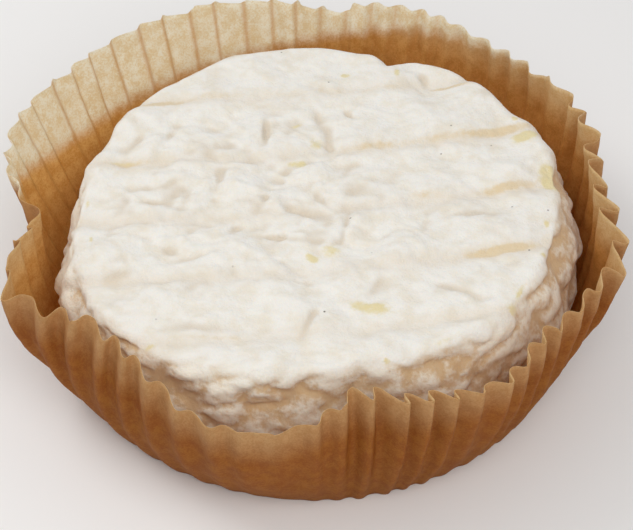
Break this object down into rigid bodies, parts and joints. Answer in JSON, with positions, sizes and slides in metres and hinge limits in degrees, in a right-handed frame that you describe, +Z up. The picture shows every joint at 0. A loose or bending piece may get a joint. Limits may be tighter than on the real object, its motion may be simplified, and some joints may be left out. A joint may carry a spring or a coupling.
{
  "type": "soft-ripened cheese",
  "caption": "Round soft-ripened cheese with a white bloomy rind and shallow rack marks, standing in its pleated brown paper case.",
  "frame": {"origin": "centre of the underside of the paper case's flat base, on the surface it stands on", "axes": "+Z up, out of the cheese's flat top; the rack marks cross the top roughly along X, and the picture looks along +Y with +X to the right"},
  "size_m": [0.1575, 0.1578, 0.0446],
  "materials": {
    "rind": "white bloomy rind, soft and matt, with beige side and pale tan rack marks",
    "paper": "thin brown greaseproof paper, matt and slightly see-through, in pressed pleats"
  },
  "bodies": {
    "root": {"cheese": "rind", "paper_case": "paper"}
  },
  "joints": []
}
